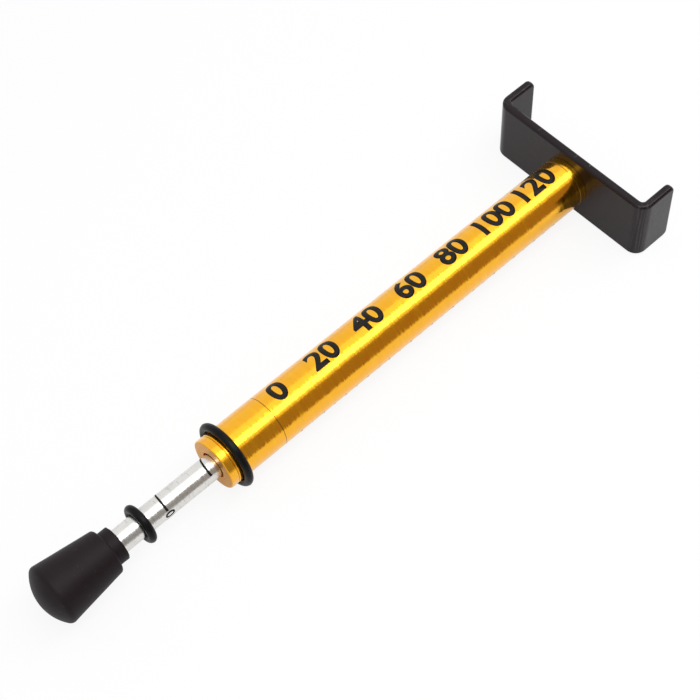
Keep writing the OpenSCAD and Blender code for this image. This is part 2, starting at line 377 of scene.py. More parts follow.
# %% [markdown]
# ## Shared effects as shader groups
#
# Some marks come back in several finishes, so each is a shader group that is built once. A group has
# named inputs, which each finish sets for itself, and puts out only values that vary over the surface.
# All of them read Object coordinates: every piece sits at the origin with its place in its mesh, so the
# pattern stays put when the piece moves.

# %% Group helpers
def new_group(name, inputs, outputs):
    """An empty shader group with float inputs (name: default) and outputs (name: Float or Vector)."""
    tree = bpy.data.node_groups.new(name, "ShaderNodeTree")
    for label, default in inputs.items():
        socket = tree.interface.new_socket(label, in_out="INPUT", socket_type="NodeSocketFloat")
        socket.default_value = default
    for label, kind in outputs.items():
        tree.interface.new_socket(label, in_out="OUTPUT", socket_type="NodeSocket" + kind)
    return tree, tree.nodes.new("NodeGroupInput").outputs


def give(tree, **results):
    """Send sockets out of a group."""
    out = tree.nodes.new("NodeGroupOutput")
    for label, socket in results.items():
        tree.links.new(socket, out.inputs[label])


def use_group(tree, group, **sockets):
    """Place a shader group in a material and give it this material's own values."""
    return add_node(tree, "ShaderNodeGroup", {"node_tree": group}, **sockets).outputs


def stretched(tree, run, across, along, wide):
    """A place for noise: how far along the marks run, and across them, each with its own scale."""
    x = calculate(tree, "MULTIPLY", run, along)
    y = calculate(tree, "MULTIPLY", across[1], wide)
    z = calculate(tree, "MULTIPLY", across[2], wide)
    return add_node(tree, "ShaderNodeCombineXYZ", X=x, Y=y, Z=z).outputs[0]


print("group helpers ready")

# %% [markdown]
# ## Turning marks
#
# A lathe leaves fine rings round a piece, and on an end face the rings run round its middle. Adding the
# radius to x gives one coordinate that crosses both kinds of ring. Rounding it down numbers the rings,
# and a jump between numbers gives each ring its own slice of a noise. The tool chatters, so the surface
# rocks a little from ring to ring. That is what frays the edge of the long highlight on the barrel.

# %% Build the turning marks
RING_JUMP = 7.3
RING_CONTRAST = (0.3, 0.7)
BROAD_SHARE = 0.2


def build_turning_marks():
    """A value for each ring, a broad tone, and a normal that rocks from ring to ring."""
    outputs = {"Ring": "Float", "Broad": "Float", "Normal": "Vector"}
    tree, given = new_group("turning_marks", {"Along": 2000.0, "Across": 40.0, "Chatter": 0.1}, outputs)
    parts = parts_of(tree, object_place(tree))
    outward = add_node(tree, "ShaderNodeCombineXYZ", Y=parts[1], Z=parts[2]).outputs[0]
    run = calculate(tree, "ADD", parts[0], measure(tree, "LENGTH", outward))
    number = calculate(tree, "FLOOR", calculate(tree, "MULTIPLY", run, given["Along"]))
    ring_place = stretched(tree, number, parts, RING_JUMP, given["Across"])
    ring = ramp(tree, cloud_of(tree, ring_place, 1.0, 1.0), *RING_CONTRAST)
    broad_along = calculate(tree, "MULTIPLY", given["Along"], BROAD_SHARE)
    broad = cloud_of(tree, stretched(tree, run, parts, broad_along, given["Across"]), 1.0, 2.0)
    normal = add_node(tree, "ShaderNodeNewGeometry").outputs["Normal"]
    sideways = combine(tree, "CROSS_PRODUCT", (1, 0, 0), normal)
    sideways = combine(tree, "ADD", sideways, combine(tree, "NORMALIZE", outward))
    swing = calculate(tree, "MULTIPLY", calculate(tree, "SUBTRACT", ring, 0.5), given["Chatter"])
    rocked = combine(tree, "ADD", normal, combine(tree, "SCALE", sideways, scale=swing))
    give(tree, Ring=ring, Broad=broad, Normal=combine(tree, "NORMALIZE", rocked))
    return tree


turning_marks = build_turning_marks()
print(turning_marks.name, "has", len(turning_marks.nodes), "nodes")

# %% [markdown]
# ## Drawn streaks
#
# Bar stock is pulled through a die, which leaves long faint scratches along it. The noise is stretched
# the other way from the turning marks: long along X and very fine across it.

# %% Build the drawn streaks
DEEP_STREAK = (0.60, 0.74)


def build_drawn_streaks():
    """Long streaks along the X axis, and a mask of the few deep ones."""
    outputs = {"Height": "Float", "Deep": "Float"}
    tree, given = new_group("drawn_streaks", {"Along": 60.0, "Across": 2600.0}, outputs)
    parts = parts_of(tree, object_place(tree))
    place = stretched(tree, parts[0], parts, given["Along"], given["Across"])
    streak = cloud_of(tree, place, 1.0, 4.0, 0.65)
    give(tree, Height=streak, Deep=ramp(tree, streak, *DEEP_STREAK))
    return tree


drawn_streaks = build_drawn_streaks()
print(drawn_streaks.name, "has", len(drawn_streaks.nodes), "nodes")

# %% [markdown]
# ## Handling
#
# A hand tool picks up a cloudy bloom from fingers and a few specks of dust. Both are plain noise, cut off
# at different levels.

# %% Build the handling marks
BLOOM_LEVEL = (0.35, 0.68)
SPECK_LEVEL = (0.72, 0.80)


def build_handling():
    """Cloudy bloom and small specks."""
    inputs = {"Cloud Scale": 90.0, "Speck Scale": 1400.0}
    tree, given = new_group("handling", inputs, {"Bloom": "Float", "Speck": "Float"})
    cloud = cloud_of(tree, object_place(tree), given["Cloud Scale"], 5.0, 0.6)
    speck = cloud_of(tree, object_place(tree), given["Speck Scale"], 1.0)
    give(tree, Bloom=ramp(tree, cloud, *BLOOM_LEVEL), Speck=ramp(tree, speck, *SPECK_LEVEL))
    return tree


handling = build_handling()
print(handling.name, "has", len(handling.nodes), "nodes")

# %% [markdown]
# ## Gold anodising
#
# The barrel, the nose cap and the tail plug are dyed anodised aluminium: a metal under a clear hard skin,
# so the shader is metallic with a thin coat. The cut end faces are rougher and less clear than the
# polished round, and their deeper, darker colour is painted shade, for the shadowed floor they mirror.
# The two joint lines are darkened with painted shade, for the shade in their hairline gaps, and a few
# specks of dust darken the rest.

# %% Finish: gold anodising
GOLD_DEEP = (0.88, 0.40, 0.003, 1)
GOLD_PALE = (0.98, 0.49, 0.006, 1)
GOLD_FACE_SHADE = (0.62, 0.27, 0.010, 1)
GOLD_DUST_AND_SEAM_SHADE = (0.16, 0.055, 0.004, 1)
SEAM_CORE = 0.07 * MM
SEAM_FADE = 0.20 * MM
FACE_TURN = (0.70, 0.98)
GRIME_SPECKS = 0.5
DUST_AND_SHADE_DEPTH = 0.8
GOLD_ROUGH = 0.08
GOLD_RING_ROUGH = 0.15
GOLD_BLOOM_ROUGH = 0.05
GOLD_FACE_ROUGH = 0.12
COAT = 0.6
COAT_ROUGH = 0.12
finish = {}


def new_material(name):
    """A material with one Principled shader."""
    material = bpy.data.materials.new(name)
    material.use_nodes = True
    return material, material.node_tree, material.node_tree.nodes["Principled BSDF"]


def shade(tree, shader, **sockets):
    """Fill the named sockets of a shader."""
    for name, value in sockets.items():
        fill(tree, shader.inputs[name.replace("_", " ")], value)


def bumped(tree, height, strength, distance, normal=None):
    """A Bump node, as an output socket."""
    return add_node(tree, "ShaderNodeBump", Height=height, Strength=strength, Distance=distance,
                    Normal=normal).outputs[0]


def layered(tree, base, *layers):
    """A base value with layers of (socket, amount) added to it in turn."""
    for socket, amount in layers:
        base = calculate(tree, "MULTIPLY_ADD", socket, amount, base)
    return base


def near_seam(tree, x):
    """1 close to a joint line and 0 away from it."""
    offset = calculate(tree, "SUBTRACT", parts_of(tree, object_place(tree))[0], x)
    away = ramp(tree, calculate(tree, "ABSOLUTE", offset), SEAM_CORE, SEAM_FADE)
    return calculate(tree, "SUBTRACT", 1.0, away)


def gold_anodised():
    """Dyed film on turned metal."""
    material, tree, shader = new_material("gold_anodised")
    marks = use_group(tree, turning_marks, Along=2300.0, Across=110.0, Chatter=0.065)
    touch = use_group(tree, handling, Cloud_Scale=70.0, Speck_Scale=1500.0)
    facing = parts_of(tree, add_node(tree, "ShaderNodeTexCoord").outputs["Normal"])[0]
    end_face = ramp(tree, calculate(tree, "ABSOLUTE", facing), *FACE_TURN)
    # Darkening at the two joint lines is painted shade for their hairline gaps; the specks are dust.
    seam = calculate(tree, "MAXIMUM", near_seam(tree, barrel_front_x), near_seam(tree, barrel_end_x))
    specks = calculate(tree, "MULTIPLY", touch["Speck"], GRIME_SPECKS)
    dust_and_seam_shade = calculate(tree, "MULTIPLY", calculate(tree, "MAXIMUM", specks, seam), DUST_AND_SHADE_DEPTH)
    tone = mix_colours(tree, marks["Broad"], GOLD_DEEP, GOLD_PALE)
    # The end faces get a darker colour: painted shade, for the shadowed floor that they mirror.
    tone = mix_colours(tree, end_face, tone, GOLD_FACE_SHADE)
    tone = mix_colours(tree, dust_and_seam_shade, tone, GOLD_DUST_AND_SEAM_SHADE)
    rough = layered(tree, GOLD_ROUGH, (marks["Ring"], GOLD_RING_ROUGH), (touch["Bloom"], GOLD_BLOOM_ROUGH),
                    (end_face, GOLD_FACE_ROUGH))
    normal = bumped(tree, marks["Broad"], 0.1, 0.05 * MM, marks["Normal"])
    shade(tree, shader, Base_Color=tone, Metallic=1.0, Roughness=rough, Normal=normal)
    coat = layered(tree, COAT, (end_face, -COAT))
    shade(tree, shader, Coat_Weight=coat, Coat_Roughness=COAT_ROUGH)
    return material


finish["gold"] = gold_anodised()
print("gold uses", len(finish["gold"].node_tree.nodes), "nodes")

# %% [markdown]
# ## Bare aluminium
#
# The rod is plain drawn bar that has been handled a lot. Streaks run along it, a few scratches run round
# it where the small ring slides, and dull patches break up the reflection.

# %% Finish: bare aluminium
BARE = (0.76, 0.75, 0.73, 1)
BARE_STREAK = (0.52, 0.51, 0.48, 1)
BARE_DULL = (0.60, 0.59, 0.56, 1)
BARE_SCRATCH = (0.30, 0.29, 0.27, 1)
SCRATCH_LEVEL = (0.82, 1.0)
SCRATCH_DEPTH = 0.3
DULL_DEPTH = 0.4
ROD_ROUGH = 0.11
ROD_STREAK_ROUGH = 0.14
ROD_BLOOM_ROUGH = 0.08


def bare_aluminium():
    """Drawn bar with streaks, ring scratches and dull patches."""
    material, tree, shader = new_material("bare_aluminium")
    streaks = use_group(tree, drawn_streaks, Along=45.0, Across=2400.0)
    marks = use_group(tree, turning_marks, Along=2600.0, Across=220.0, Chatter=0.07)
    touch = use_group(tree, handling, Cloud_Scale=260.0, Speck_Scale=1800.0)
    tone = mix_colours(tree, streaks["Deep"], BARE, BARE_STREAK)
    tone = mix_colours(tree, calculate(tree, "MULTIPLY", touch["Bloom"], DULL_DEPTH), tone, BARE_DULL)
    scratch = ramp(tree, marks["Ring"], *SCRATCH_LEVEL)
    tone = mix_colours(tree, calculate(tree, "MULTIPLY", scratch, SCRATCH_DEPTH), tone, BARE_SCRATCH)
    rough = layered(tree, ROD_ROUGH, (streaks["Height"], ROD_STREAK_ROUGH), (touch["Bloom"], ROD_BLOOM_ROUGH))
    normal = bumped(tree, streaks["Height"], 0.3, 0.05 * MM, marks["Normal"])
    shade(tree, shader, Base_Color=tone, Metallic=1.0, Roughness=rough, Normal=normal)
    return material


finish["rod"] = bare_aluminium()
print("rod uses", len(finish["rod"].node_tree.nodes), "nodes")

# %% [markdown]
# ## Black rubber
#
# The knob is matt moulded rubber and the rings are smoother. One recipe makes both: a fine moulded grain
# in the bump and the roughness, and a trace of dust in the colour.

# %% Finish: rubber
KNOB_BLACK = (0.008, 0.004, 0.0053)
RING_BLACK = (0.003, 0.0026, 0.003)
DUST = 0.045
DUST_HAZE = 0.05
DUST_SPECKS = 0.5
GRAIN_SCALE = 2600.0
GRAIN_ROUGH = 0.14
RUBBER_BLOOM_ROUGH = 0.05


def moulded_rubber(name, colour, roughness, gloss, grain):
    """Black rubber with a moulded grain and a little dust."""
    material, tree, shader = new_material(name)
    touch = use_group(tree, handling, Cloud_Scale=120.0, Speck_Scale=1100.0)
    skin = cloud_of(tree, object_place(tree), GRAIN_SCALE, 3.0, 0.6)
    dusty = (*[c + DUST for c in colour], 1)
    dust = layered(tree, 0.0, (touch["Bloom"], DUST_HAZE), (touch["Speck"], DUST_SPECKS))
    tone = mix_colours(tree, dust, (*colour, 1), dusty)
    smoothest = roughness - GRAIN_ROUGH / 2
    rough = layered(tree, smoothest, (skin, GRAIN_ROUGH), (touch["Bloom"], RUBBER_BLOOM_ROUGH))
    normal = bumped(tree, skin, grain, 0.08 * MM)
    shade(tree, shader, Base_Color=tone, Roughness=rough, Normal=normal, Specular_IOR_Level=gloss)
    return material


finish["knob"] = moulded_rubber("knob_rubber", KNOB_BLACK, roughness=0.50, gloss=0.16, grain=0.30)
finish["ring"] = moulded_rubber("ring_rubber", RING_BLACK, roughness=0.33, gloss=0.12, grain=0.12)
print("rubbers:", finish["knob"].name, finish["ring"].name)

# %% [markdown]
# ## Satin black paint
#
# The cradle is steel under satin black paint, with the faint waviness of a sprayed coat. Paint is
# thinnest on the strip's narrow edges and the leg tips, so a mask from the object's own coordinates lets
# a few lighter chips show there. Paler streaks along each fold, near the bends, are a painted highlight:
# they stand for the streaky sheen that the bends catch.

# %% Finish: black paint
PAINT = (0.0072, 0.0030, 0.0042, 1)
PAINT_DULL = (0.0115, 0.0060, 0.0075, 1)
PAINT_CHIP = (0.10, 0.095, 0.095, 1)
PAINT_FOLD_HIGHLIGHT = (0.040, 0.036, 0.037, 1)
EDGE_BAND = 0.9 * MM
FOLD_BAND = (4.4 * MM, 2.6 * MM)
FOLD_FADE = (1.5 * MM, 7.0 * MM)
CHIP_LEVEL = (0.64, 0.72)
FOLD_HIGHLIGHT_LEVEL = (0.46, 0.74)
FOLD_HIGHLIGHT_STRETCH = (1500, 1500, 45)
PAINT_ROUGH = 0.20
PAINT_BLOOM_ROUGH = 0.08
PAINT_GLOSS = 0.20


def satin_paint():
    """Sprayed black paint with chips on the narrow edges and a painted highlight along the folds."""
    material, tree, shader = new_material("satin_black_paint")
    touch = use_group(tree, handling, Cloud_Scale=55.0, Speck_Scale=1300.0)
    place = object_place(tree)
    parts = parts_of(tree, place)
    side = calculate(tree, "ABSOLUTE", parts[2])
    on_side = ramp(tree, side, cradle_high.z - EDGE_BAND, cradle_high.z)
    on_tip = ramp(tree, parts[0], cradle_high.x - EDGE_BAND, cradle_high.x)
    chips = ramp(tree, cloud_of(tree, place, 700.0, 4.0, 0.7), *CHIP_LEVEL)
    worn = calculate(tree, "MULTIPLY", calculate(tree, "MAXIMUM", on_side, on_tip), chips)
    tone = mix_colours(tree, touch["Bloom"], PAINT, PAINT_DULL)
    tone = mix_colours(tree, worn, tone, PAINT_CHIP)
    # Paler streaks near the bends are a painted highlight for the sheen that the folds catch.
    near_fold = ramp(tree, calculate(tree, "ABSOLUTE", parts[1]), *[cradle_high.y - b for b in FOLD_BAND])
    fold_highlight = cloud_of(tree, combine(tree, "MULTIPLY", place, FOLD_HIGHLIGHT_STRETCH), 1.0, 3.0, 0.6)
    fold_highlight = calculate(tree, "MULTIPLY", near_fold, ramp(tree, fold_highlight, *FOLD_HIGHLIGHT_LEVEL))
    fold_highlight = calculate(tree, "MULTIPLY", fold_highlight, ramp(tree, parts[0], *reversed(FOLD_FADE)))
    tone = mix_colours(tree, fold_highlight, tone, PAINT_FOLD_HIGHLIGHT)
    rough = layered(tree, PAINT_ROUGH, (touch["Bloom"], PAINT_BLOOM_ROUGH))
    normal = bumped(tree, cloud_of(tree, place, 420.0, 3.0), 0.25, 0.12 * MM)
    shade(tree, shader, Base_Color=tone, Roughness=rough, Normal=normal, Specular_IOR_Level=PAINT_GLOSS)
    return material


finish["paint"] = satin_paint()
print("paint uses", len(finish["paint"].node_tree.nodes), "nodes")

# %% [markdown]
# ## Printing ink
#
# The marks on the barrel and the rod are screen-printed in black. The ink is matt and a little uneven.

# %% Finish: ink
INK = (0.005, 0.004, 0.003, 1)
INK_THIN = (0.010, 0.007, 0.005, 1)
INK_ROUGH = 0.45
INK_BLOOM_ROUGH = 0.12
INK_GLOSS = 0.18


def printed_ink():
    """Matt black ink, a little thinner in places."""
    material, tree, shader = new_material("black_print")
    touch = use_group(tree, handling, Cloud_Scale=260.0, Speck_Scale=2400.0)
    tone = mix_colours(tree, touch["Bloom"], INK, INK_THIN)
    rough = layered(tree, INK_ROUGH, (touch["Bloom"], INK_BLOOM_ROUGH))
    shade(tree, shader, Base_Color=tone, Roughness=rough, Specular_IOR_Level=INK_GLOSS)
    return material


finish["ink"] = printed_ink()
print("ink uses", len(finish["ink"].node_tree.nodes), "nodes")

# %% [markdown]
# ## Steels inside the tool
#
# The washer, the nut and the shim are zinc plated, the screw is blackened, and the spring is oiled wire.
# They share one recipe with two tones each: faint turned rings and an uneven bloom.

# %% Finish: steels
STEEL_RING_ROUGH = 0.15


def plain_steel(name, light, dark, roughness):
    """Plated or oiled steel in two tones."""
    material, tree, shader = new_material(name)
    marks = use_group(tree, turning_marks, Along=3000.0, Across=120.0)
    touch = use_group(tree, handling, Cloud_Scale=300.0, Speck_Scale=2500.0)
    tone = mix_colours(tree, touch["Bloom"], (*light, 1), (*dark, 1))
    rough = layered(tree, roughness, (marks["Ring"], STEEL_RING_ROUGH))
    normal = bumped(tree, marks["Broad"], 0.2, 0.04 * MM, marks["Normal"])
    shade(tree, shader, Base_Color=tone, Metallic=1.0, Roughness=rough, Normal=normal)
    return material


finish["zinc"] = plain_steel("zinc_plate", light=(0.66, 0.66, 0.68), dark=(0.52, 0.53, 0.56), roughness=0.22)
finish["oxide"] = plain_steel("black_oxide", light=(0.045, 0.045, 0.048), dark=(0.075, 0.072, 0.070),
                              roughness=0.30)
finish["wire"] = plain_steel("spring_wire", light=(0.42, 0.41, 0.40), dark=(0.30, 0.29, 0.28), roughness=0.28)
print("steels:", [finish[key].name for key in ("zinc", "oxide", "wire")])

# %% [markdown]
# ## White acetal
#
# The piston is guessed as turned acetal, a slippery white plastic that runs well in a tube.

# %% Finish: acetal
ACETAL = (0.80, 0.80, 0.77, 1)
ACETAL_PALE = (0.87, 0.87, 0.85, 1)
ACETAL_ROUGH = 0.35
ACETAL_RING_ROUGH = 0.15


def white_acetal():
    """Turned white plastic."""
    material, tree, shader = new_material("white_acetal")
    marks = use_group(tree, turning_marks, Along=1800.0, Across=60.0)
    tone = mix_colours(tree, marks["Broad"], ACETAL, ACETAL_PALE)
    rough = layered(tree, ACETAL_ROUGH, (marks["Ring"], ACETAL_RING_ROUGH))
    shade(tree, shader, Base_Color=tone, Roughness=rough)
    return material


finish["acetal"] = white_acetal()
print("finishes:", sorted(finish))

# %% [markdown]
# ## Outlines for a virtual lathe
#
# Most of this tool is turned or moulded round one axis, so its pieces start as outlines of (x, radius)
# points. Real turned edges are never sharp: `soften` rounds each corner with a small curve, which gives
# each edge its thin highlight. Larger roundings are drawn as true arcs.

# %% Outline helpers
ROUND_STEPS = 4
ARC_STEPS = 14
CORNER_SHARE = 0.45


def soften(outline, radius, closed):
    """Round each corner of an outline. The ends of an open outline stay."""
    points = [Vector(p) for p in outline]
    count = len(points)
    rounded = []
    for i, corner in enumerate(points):
        if not closed and i in (0, count - 1):
            rounded.append(corner)
            continue
        before, after = points[i - 1] - corner, points[(i + 1) % count] - corner
        cut = min(radius, before.length * CORNER_SHARE, after.length * CORNER_SHARE)
        start, end = corner + before.normalized() * cut, corner + after.normalized() * cut
        for k in range(ROUND_STEPS + 1):
            t = k / ROUND_STEPS
            rounded.append(start * (1 - t) ** 2 + corner * 2 * t * (1 - t) + end * t * t)
    return rounded


def arc_points(centre, radius, start, stop, steps=ARC_STEPS):
    """Points (x, r) on an arc, with angles turned outwards from the -X direction, in degrees."""
    turn = [math.radians(start + (stop - start) * i / steps) for i in range(steps + 1)]
    return [(centre[0] - radius * math.cos(a), centre[1] + radius * math.sin(a)) for a in turn]


def straight(start, end, steps):
    """Points on a straight line, with both ends."""
    return [tuple(Vector(start).lerp(Vector(end), k / steps)) for k in range(steps + 1)]


print("outlines round each corner in", ROUND_STEPS, "steps")

# %% [markdown]
# ## The lathe
#
# `revolve` spins an outline about X. A point on the axis becomes one vertex, so that poles close cleanly.
# A Weighted Normal modifier then keeps the long faces evenly shaded right up to their roundings, and
# `dress` lets the finished piece ride on its body in the place of the CAD solid.

# %% Lathe helpers
LATHE_STEPS = 160
AXIS_RADIUS = 1e-7


def revolve(outline, closed, steps=LATHE_STEPS):
    """A bmesh of an outline turned about the X axis."""
    bm = bmesh.new()
    rings = []
    for x, r in outline:
        turns = [2 * math.pi * i / steps for i in range(steps)] if r > AXIS_RADIUS else [0.0]
        rings.append([bm.verts.new((x, r * math.cos(a), r * math.sin(a))) for a in turns])
    pairs = list(zip(rings, rings[1:])) + ([(rings[-1], rings[0])] if closed else [])
    for one, two in pairs:
        for i in range(steps):
            j = (i + 1) % steps
            corners = [one[i % len(one)], one[j % len(one)], two[j % len(two)], two[i % len(two)]]
            bm.faces.new(dict.fromkeys(corners))
    return bm


def into_mesh(bm, name):
    """Turn a bmesh into a mesh and free it."""
    mesh = bpy.data.meshes.new(name)
    bm.to_mesh(mesh)
    bm.free()
    return mesh


def mesh_from(bm, name):
    """Turn a bmesh into a smooth-shaded mesh with its faces pointing outwards."""
    bmesh.ops.recalc_face_normals(bm, faces=bm.faces)
    for face in bm.faces:
        face.smooth = True
    return into_mesh(bm, name)


def link_piece(name, mesh, material):
    """Make a mesh into a piece with one finish, linked to the scene."""
    mesh.materials.clear()
    mesh.materials.append(material)
    piece = bpy.data.objects.new(name, mesh)
    scene.collection.objects.link(piece)
    return piece


def even_shading(piece):
    """Shade long faces evenly up to their rounded edges."""
    modifier = piece.modifiers.new("even_shading", "WEIGHTED_NORMAL")
    modifier.keep_sharp = True
    return piece


def turned_piece(name, outline, material, edge, closed):
    """A turned piece with softened edges and even shading."""
    mesh = mesh_from(revolve(soften(outline, edge, closed), closed), name)
    return even_shading(link_piece(name, mesh, material))


def dress(piece, body, slot, *nodes):
    """Let a finished piece ride on its body and stand for its CAD nodes."""
    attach(piece, body)
    if nodes:
        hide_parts(*nodes)
    print(piece.name, "rides on", body, "with", len(piece.data.polygons), "faces")


print("lathe ready,", LATHE_STEPS, "steps")

# %% [markdown]
# ## Barrel
#
# The barrel is a plain tube. Its outline is a closed rectangle beside the axis, so one revolve makes the
# outside, the bore and both ends at once.

# %% Turn the barrel
EDGE = 0.15 * MM
WALL = 1.6 * MM
bore_r = barrel_r - WALL
barrel_outline = [
    (barrel_front_x, bore_r),
    (barrel_front_x, barrel_r),
    (barrel_end_x, barrel_r),
    (barrel_end_x, bore_r),
]
barrel_tube = turned_piece("barrel_tube", barrel_outline, finish["gold"], EDGE, True)
dress(barrel_tube, "tool_body", "gold_anodised", "barrel")

# %% [markdown]
# ## Nose cap
#
# The nose cap shares the barrel's diameter, so their joint shows only as a hairline. It has a rounded
# front rim, one fine turned line beside the large ring, a spigot in the barrel, and a bore for the rod
# with a wider mouth.

# %% Turn the nose cap
SEAT_GAP = 0.03 * MM
SLIDE_GAP = 0.05 * MM
MOUTH_GAP = 0.6 * MM
MOUTH_DEPTH = 2.0 * MM
FACE_ROUND = 0.6 * MM
FACE_STEPS = 6
LINE_FROM_FACE = 3.2 * MM
LINE_WIDTH = 0.5 * MM
LINE_DEPTH = 0.35 * MM
LEAD = 0.6 * MM
NOSE_EDGE = 0.12 * MM
spigot_r = bore_r - SEAT_GAP
guide_r = rod_r + SLIDE_GAP
line_x = nose_face_x + LINE_FROM_FACE
nose_outline = [
    (nose_face_x, rod_r + MOUTH_GAP),
    *arc_points((nose_face_x + FACE_ROUND, barrel_r - FACE_ROUND), FACE_ROUND, 0, 90, FACE_STEPS),
    (line_x - LINE_WIDTH / 2, barrel_r),
    (line_x, barrel_r - LINE_DEPTH),
    (line_x + LINE_WIDTH / 2, barrel_r),
    (barrel_front_x, barrel_r),
    (barrel_front_x, spigot_r),
    (spigot_end_x - LEAD, spigot_r),
    (spigot_end_x, spigot_r - LEAD),
    (spigot_end_x, guide_r),
    (nose_face_x + MOUTH_DEPTH, guide_r),
    (nose_face_x + MOUTH_DEPTH, rod_r + MOUTH_GAP),
]
nose_turned = turned_piece("nose_cap_turned", nose_outline, finish["gold"], NOSE_EDGE, True)
dress(nose_turned, "tool_body", "gold_anodised", "nose_cap")

# %% [markdown]
# ## Tail plug
#
# The plug closes the other end of the barrel. Only its flange shows, between the barrel and the cradle.
# Inside, it has a spigot, a pilot that centres the spring, and a drilled hole with a conical end for the
# cradle's screw.

# %% Turn the tail plug
PILOT_R = 5.4 * MM
TAP_R = 3.03 * MM
TAP_DEPTH = 10.5 * MM
plug_step_x = x_span("spring_shim")[1]
tap_x = plate_back_x - TAP_DEPTH
plug_outline = [
    (plug_inner_x, 0),
    (plug_inner_x, PILOT_R - LEAD),
    (plug_inner_x + LEAD, PILOT_R),
    (plug_step_x, PILOT_R),
    (plug_step_x, spigot_r - LEAD),
    (plug_step_x + LEAD, spigot_r),
    (barrel_end_x, spigot_r),
    (barrel_end_x, barrel_r),
    (plate_back_x, barrel_r),
    (plate_back_x, TAP_R),
    (tap_x, TAP_R),
    (tap_x - TAP_R / 2, 0),
]
plug_turned = turned_piece("tail_plug_turned", plug_outline, finish["gold"], EDGE, False)
dress(plug_turned, "tool_body", "gold_anodised", "tail_plug")

# %% [markdown]
# ## Plunger rod
#
# The rod is plain round bar. Its outer end hides in the knob, and its inner end steps down to a stud that
# carries the piston, which the lathe turns from the same outline.

# %% Turn the rod
STUD_R = 2.5 * MM
piston_front_x = x_span("piston")[0]
rod_outline = [
    (rod_tip_x, 0),
    (rod_tip_x, rod_r - LEAD),
    (rod_tip_x + LEAD, rod_r),
    (piston_front_x, rod_r),
    (piston_front_x, STUD_R),
    (stud_end_x - LEAD, STUD_R),
    (stud_end_x, STUD_R - LEAD),
    (stud_end_x, 0),
]
rod_turned = turned_piece("plunger_rod_turned", rod_outline, finish["rod"], EDGE, False)
dress(rod_turned, "plunger", "bare_aluminium", "plunger_rod")

# %% [markdown]
# ## Push knob
#
# The knob is moulded rubber: a low dome, a round rim, a side that tapers to a shoulder, and a short neck.
# Where two arcs meet, the angles are worked out so that they share one tangent, which keeps the highlight
# unbroken. The rim's arc starts a few degrees on, so that no point comes twice.

# %% Draw the knob
DOME_R = 16.0 * MM
RIM_ROUND = 2.2 * MM
RIM_SKIP = 4
SHOULDER_R = 8.2 * MM
SHOULDER_ROUND = 0.9 * MM
NECK_R = 6.2 * MM
NECK_LENGTH = 4.0 * MM
NECK_STEPS = 8


def knob_outline():
    """The knob from the pole of its dome to the bottom of its socket."""
    rim_r = knob_r - RIM_ROUND
    dome_x = knob_tip_x + DOME_R
    rim_angle = math.degrees(math.asin(rim_r / (DOME_R - RIM_ROUND)))
    rim_x = dome_x - (DOME_R - RIM_ROUND) * math.cos(math.radians(rim_angle))
    shoulder_x = neck_x - NECK_LENGTH
    taper = math.degrees(math.atan((knob_r - SHOULDER_R) / (shoulder_x - rim_x)))
    dome = arc_points((dome_x, 0), DOME_R, 0, rim_angle)
    rim = arc_points((rim_x, rim_r), RIM_ROUND, rim_angle + RIM_SKIP, 90 + taper)
    side_end = (shoulder_x - SHOULDER_ROUND, SHOULDER_R - SHOULDER_ROUND)
    shoulder = arc_points(side_end, SHOULDER_ROUND, 90 + taper, 180)
    side = straight(rim[-1], shoulder[0], ARC_STEPS)[1:-1]
    neck = straight((shoulder_x, NECK_R), (neck_x, NECK_R), NECK_STEPS)
    socket = [(neck_x, rod_r + SEAT_GAP), (rod_tip_x, rod_r + SEAT_GAP), (rod_tip_x, 0)]
    return dome + rim + side + shoulder + neck + socket


knob_bm = revolve(knob_outline(), False)
print("knob outline gives", len(knob_bm.verts), "points")

# %% [markdown]
# ## An uneven moulding
#
# A real moulding is never quite true, and the knob's lip is ragged where it was trimmed. Each outer point
# moves a few hundredths of a millimetre by a smooth noise, and the points near the lip move more. The
# socket stays round, so that it still fits the rod.

# %% Make the knob uneven
UNEVEN = 0.045 * MM
UNEVEN_PER_METRE = 170.0
LIP_UNEVEN = 0.20 * MM
LIP_PER_METRE = 520.0
LIP_REACH = 1.6 * MM
SOCKET_CLEAR = 0.5 * MM


def make_uneven(bm):
    """Move the outer points of the knob by smooth noise, and those near its lip by more."""
    for vertex in bm.verts:
        out = Vector((0, vertex.co.y, vertex.co.z))
        if out.length < rod_r + SOCKET_CLEAR and vertex.co.x > rod_tip_x - MM:
            continue
        near_lip = max(0.0, 1 - (neck_x - vertex.co.x) / LIP_REACH)
        wave = noise.noise(vertex.co * UNEVEN_PER_METRE) * UNEVEN
        ragged = noise.noise(vertex.co * LIP_PER_METRE) * LIP_UNEVEN * near_lip
        vertex.co += out.normalized() * (wave + ragged) - Vector((abs(ragged), 0, 0))


make_uneven(knob_bm)
knob_mesh = mesh_from(knob_bm, "push_knob_moulded")
knob_moulded = even_shading(link_piece("push_knob_moulded", knob_mesh, finish["knob"]))
dress(knob_moulded, "plunger", "black_rubber", "push_knob")

# %% [markdown]
# ## Marker rings
#
# Rubber O-rings have a round section with a faint flash line where the mould parted. The section is
# turned as a closed outline, with the flash as a small step at its outer edge.

# %% Mould the rings
SECTION_STEPS = 40
FLASH = 0.05 * MM
FLASH_ANGLE = math.radians(5)


def ring_outline(node):
    """The round section of a rubber ring, in (x, radius), with a thin flash line round its outside."""
    low_x, high_x = x_span(node)
    section_r = (high_x - low_x) / 2
    middle_r = radius_of(node) - section_r
    outline = []
    for i in range(SECTION_STEPS):
        a = 2 * math.pi * i / SECTION_STEPS
        r = section_r - FLASH * (abs(math.remainder(a, 2 * math.pi)) > FLASH_ANGLE)
        outline.append((low_x + section_r + r * math.sin(a), middle_r + r * math.cos(a)))
    return outline


